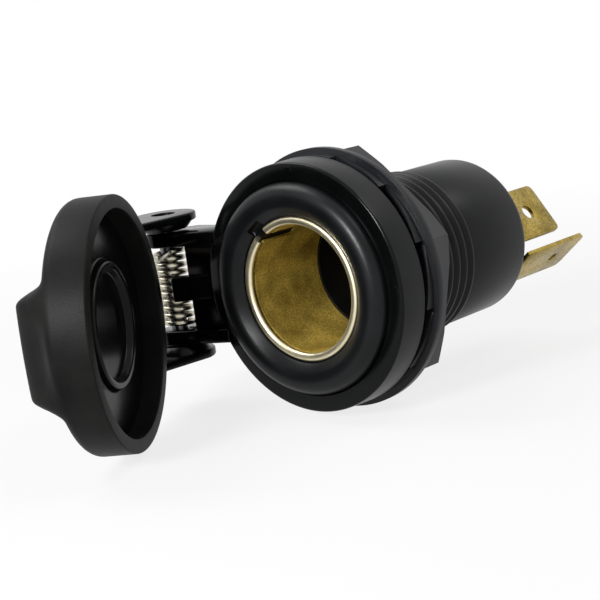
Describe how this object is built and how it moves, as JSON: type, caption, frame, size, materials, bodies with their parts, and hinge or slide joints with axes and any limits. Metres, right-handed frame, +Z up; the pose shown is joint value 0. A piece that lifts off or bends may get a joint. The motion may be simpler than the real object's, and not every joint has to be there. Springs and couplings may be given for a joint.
{
  "type": "vehicle 12 volt power socket",
  "caption": "Panel-mounted 12 volt plug socket with brass well, threaded body, toothed ring nut, blade terminals and a sprung hinged lid.",
  "frame": {"origin": "on the axis of the well, in the plane of the bezel's back face, which seats on the panel", "axes": "+Y along the well's axis into the panel, +Z up along the hinge pin, +X away from the hinge"},
  "size_m": [0.0563, 0.1094, 0.0432],
  "materials": {
    "body_plastic": "satin moulded",
    "gloss_plastic": "glossy moulded",
    "nut_plastic": "satin moulded",
    "well_brass": "drawn and lightly tarnished",
    "rivet_brass": "plain",
    "carrier_plastic": "matte",
    "contact_brass": "stamped",
    "spring_steel": "drawn wire",
    "blade_brass": "stamped sheet",
    "pin_steel": "bright",
    "lid_plastic": "satin gloss moulded",
    "cover_rubber": "matte moulded"
  },
  "bodies": {
    "socket": {"housing": "body_plastic", "bezel_ring": "gloss_plastic", "well_shell": "well_brass", "shell_rivets": "rivet_brass", "contact_carrier": "carrier_plastic", "centre_contact": "contact_brass", "centre_rivet": "rivet_brass", "spring_washer": "spring_steel", "positive_blade": "blade_brass", "negative_blade": "blade_brass", "hinge_pin": "pin_steel", "torsion_spring": "spring_steel"},
    "lid": {"lid_plate": "lid_plastic", "lid_cover": "cover_rubber"},
    "nut": {"panel_nut": "nut_plastic"}
  },
  "joints": [
    {"name": "lid_hinge", "type": "hinge", "parent": "socket", "child": "lid", "pos_m": [-0.0291, -0.0064, 0], "axis": [0, 0, -1], "range_deg": [-58, 52], "stiffness_Nm_per_rad": 0.008, "springref_deg": -108.86, "deforming": ["torsion_spring"]},
    {"name": "nut_travel", "type": "slide", "parent": "socket", "child": "nut", "axis": [0, 1, 0], "range_m": [0, 0.012]}
  ]
}
